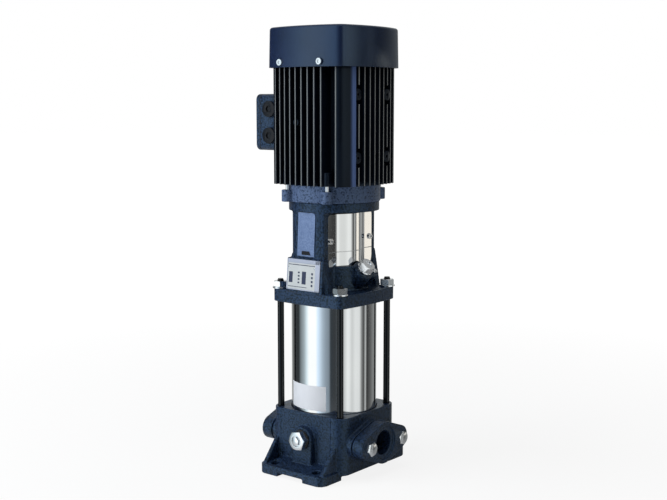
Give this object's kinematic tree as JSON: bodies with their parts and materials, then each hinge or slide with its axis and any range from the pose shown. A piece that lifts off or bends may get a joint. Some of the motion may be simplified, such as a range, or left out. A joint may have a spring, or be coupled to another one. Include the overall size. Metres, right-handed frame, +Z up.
{
  "type": "vertical multistage pump",
  "caption": "Upright multistage centrifugal pump with in-line ports in its foot, a stainless sleeve between stay bolts, and a finned motor with fan cover and terminal box on top.",
  "frame": {"origin": "middle of the foot's underside, on the shaft axis", "axes": "+Z up along the shaft; the ports lie along X, discharge on +X and suction on -X; the drain plug and nameplate face -Y; the terminal box is on -X"},
  "size_m": [0.204, 0.192, 0.6],
  "materials": {
    "cast_paint": "near-black paint with a navy sheen on cast iron",
    "motor_paint": "near-black satin paint on aluminium",
    "cover_paint": "black satin sheet steel",
    "stainless_polished": "polished stainless",
    "stainless_plain": "plain stainless",
    "zinc": "bright zinc plate",
    "black_rod": "black coated rod",
    "brass": "machined brass",
    "rubber": "sealing rubber",
    "carbon": "seal carbon",
    "fan_plastic": "moulded black plastic",
    "plate_metal": "bare satin plate",
    "machined_steel": "machined steel",
    "core_steel": "laminated core",
    "copper_winding": "varnished copper winding",
    "sintered": "sintered coupling steel"
  },
  "bodies": {
    "pump": {"pump_base": "cast_paint", "discharge_flange": "cast_paint", "suction_flange": "cast_paint", "flange_gaskets": "rubber", "flange_bolts": "zinc", "drain_gasket": "rubber", "outer_sleeve": "stainless_polished", "sleeve_seals": "rubber", "inlet_guide": "stainless_plain", "stage_chambers": "stainless_plain", "neck_rings": "fan_plastic", "top_chamber": "stainless_plain", "shaft_bush": "carbon", "chamber_straps": "stainless_plain", "stay_bolts": "black_rod", "stay_washers": "zinc", "stay_nuts": "zinc", "motor_stool": "cast_paint", "seal_housing": "cast_paint", "seal_housing_screws": "zinc", "seal_seat": "carbon", "nameplate": "plate_metal", "coupling_guard_front": "stainless_polished", "coupling_guard_rear": "stainless_polished", "guard_screws": "zinc", "motor_flange_bolts": "zinc", "motor_shield": "motor_paint", "shield_screws": "zinc", "lower_bearing_outer": "machined_steel", "stator_housing": "motor_paint", "stator_core": "core_steel", "stator_windings": "copper_winding", "end_shield": "motor_paint", "upper_bearing_outer": "machined_steel", "fan_cover": "cover_paint", "fan_cover_screws": "zinc", "terminal_box": "motor_paint", "terminal_box_gasket": "rubber", "terminal_box_lid": "motor_paint", "terminal_box_screws": "black_rod", "entry_plugs": "fan_plastic", "terminal_board": "carbon"},
    "rotor": {"pump_shaft": "stainless_plain", "impellers": "stainless_plain", "impeller_spacers": "stainless_plain", "shaft_nut": "stainless_plain", "seal_rotating_head": "stainless_plain", "coupling_half_a": "sintered", "coupling_half_b": "sintered", "coupling_pin": "machined_steel", "coupling_screws": "zinc", "lower_bearing_inner": "machined_steel", "rotor_core": "core_steel", "motor_shaft": "machined_steel", "upper_bearing_inner": "machined_steel", "cooling_fan": "fan_plastic"},
    "drain": {"drain_plug": "stainless_plain"},
    "bypass": {"bypass_screw": "stainless_plain"},
    "priming": {"priming_plug": "stainless_plain"},
    "vent": {"vent_screw": "stainless_plain"}
  },
  "joints": [
    {"name": "rotor_spin", "type": "hinge", "parent": "pump", "child": "rotor", "pos_m": [0, 0, 0.3], "axis": [0, 0, 1], "continuous": true},
    {"name": "drain_plug_turn", "type": "hinge", "parent": "pump", "child": "drain", "pos_m": [0, -0.071, 0.05], "axis": [0, -1, 0], "range_deg": [0, 360]},
    {"name": "bypass_screw_turn", "type": "hinge", "parent": "drain", "child": "bypass", "pos_m": [0, -0.08, 0.05], "axis": [0, -1, 0], "range_deg": [0, 360]},
    {"name": "priming_plug_turn", "type": "hinge", "parent": "pump", "child": "priming", "pos_m": [0.05121, 0, 0.27821], "axis": [0.7071, 0, 0.7071], "range_deg": [0, 360]},
    {"name": "vent_screw_turn", "type": "hinge", "parent": "pump", "child": "vent", "pos_m": [0.05121, 0.02, 0.27221], "axis": [0.7071, 0, 0.7071], "range_deg": [0, 360]}
  ]
}
